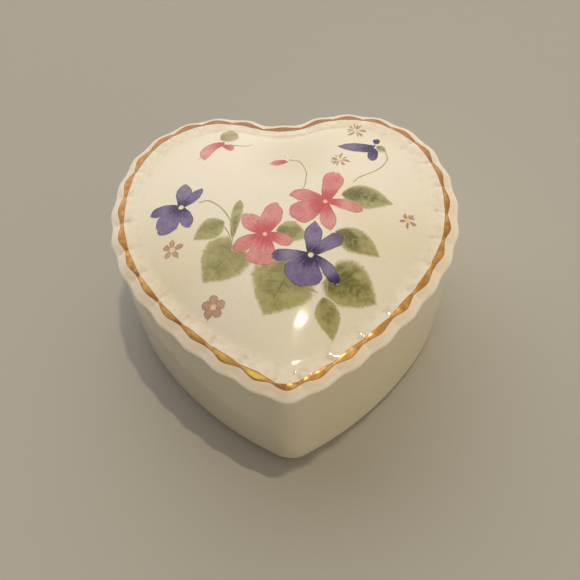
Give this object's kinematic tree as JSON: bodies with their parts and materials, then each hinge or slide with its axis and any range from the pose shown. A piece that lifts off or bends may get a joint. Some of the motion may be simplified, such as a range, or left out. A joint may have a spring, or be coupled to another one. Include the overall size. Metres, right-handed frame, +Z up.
{
  "type": "trinket box",
  "caption": "Heart-shaped porcelain trinket box with a domed, scalloped lift-off lid that has a gilt line and a printed spray of flowers.",
  "frame": {"origin": "on the standing surface, under the middle of the lid's outline", "axes": "+Z up; -Y towards the tip of the heart; +X to the right when the tip points at the viewer"},
  "size_m": [0.0766, 0.074, 0.0403],
  "materials": {
    "ivory_glaze": "glossy ivory glaze",
    "gilding": "polished bright gold",
    "violet_print": "on-glaze print under gloss",
    "rose_print": "on-glaze print under gloss",
    "leaf_print": "on-glaze print under gloss"
  },
  "bodies": {
    "box": {"box": "ivory_glaze"},
    "lid": {"lid": "ivory_glaze", "gilt_band": "gilding"}
  },
  "joints": [
    {"name": "lid_lift", "type": "slide", "parent": "box", "child": "lid", "axis": [0, 0, 1], "range_m": [0, 0.06]}
  ]
}
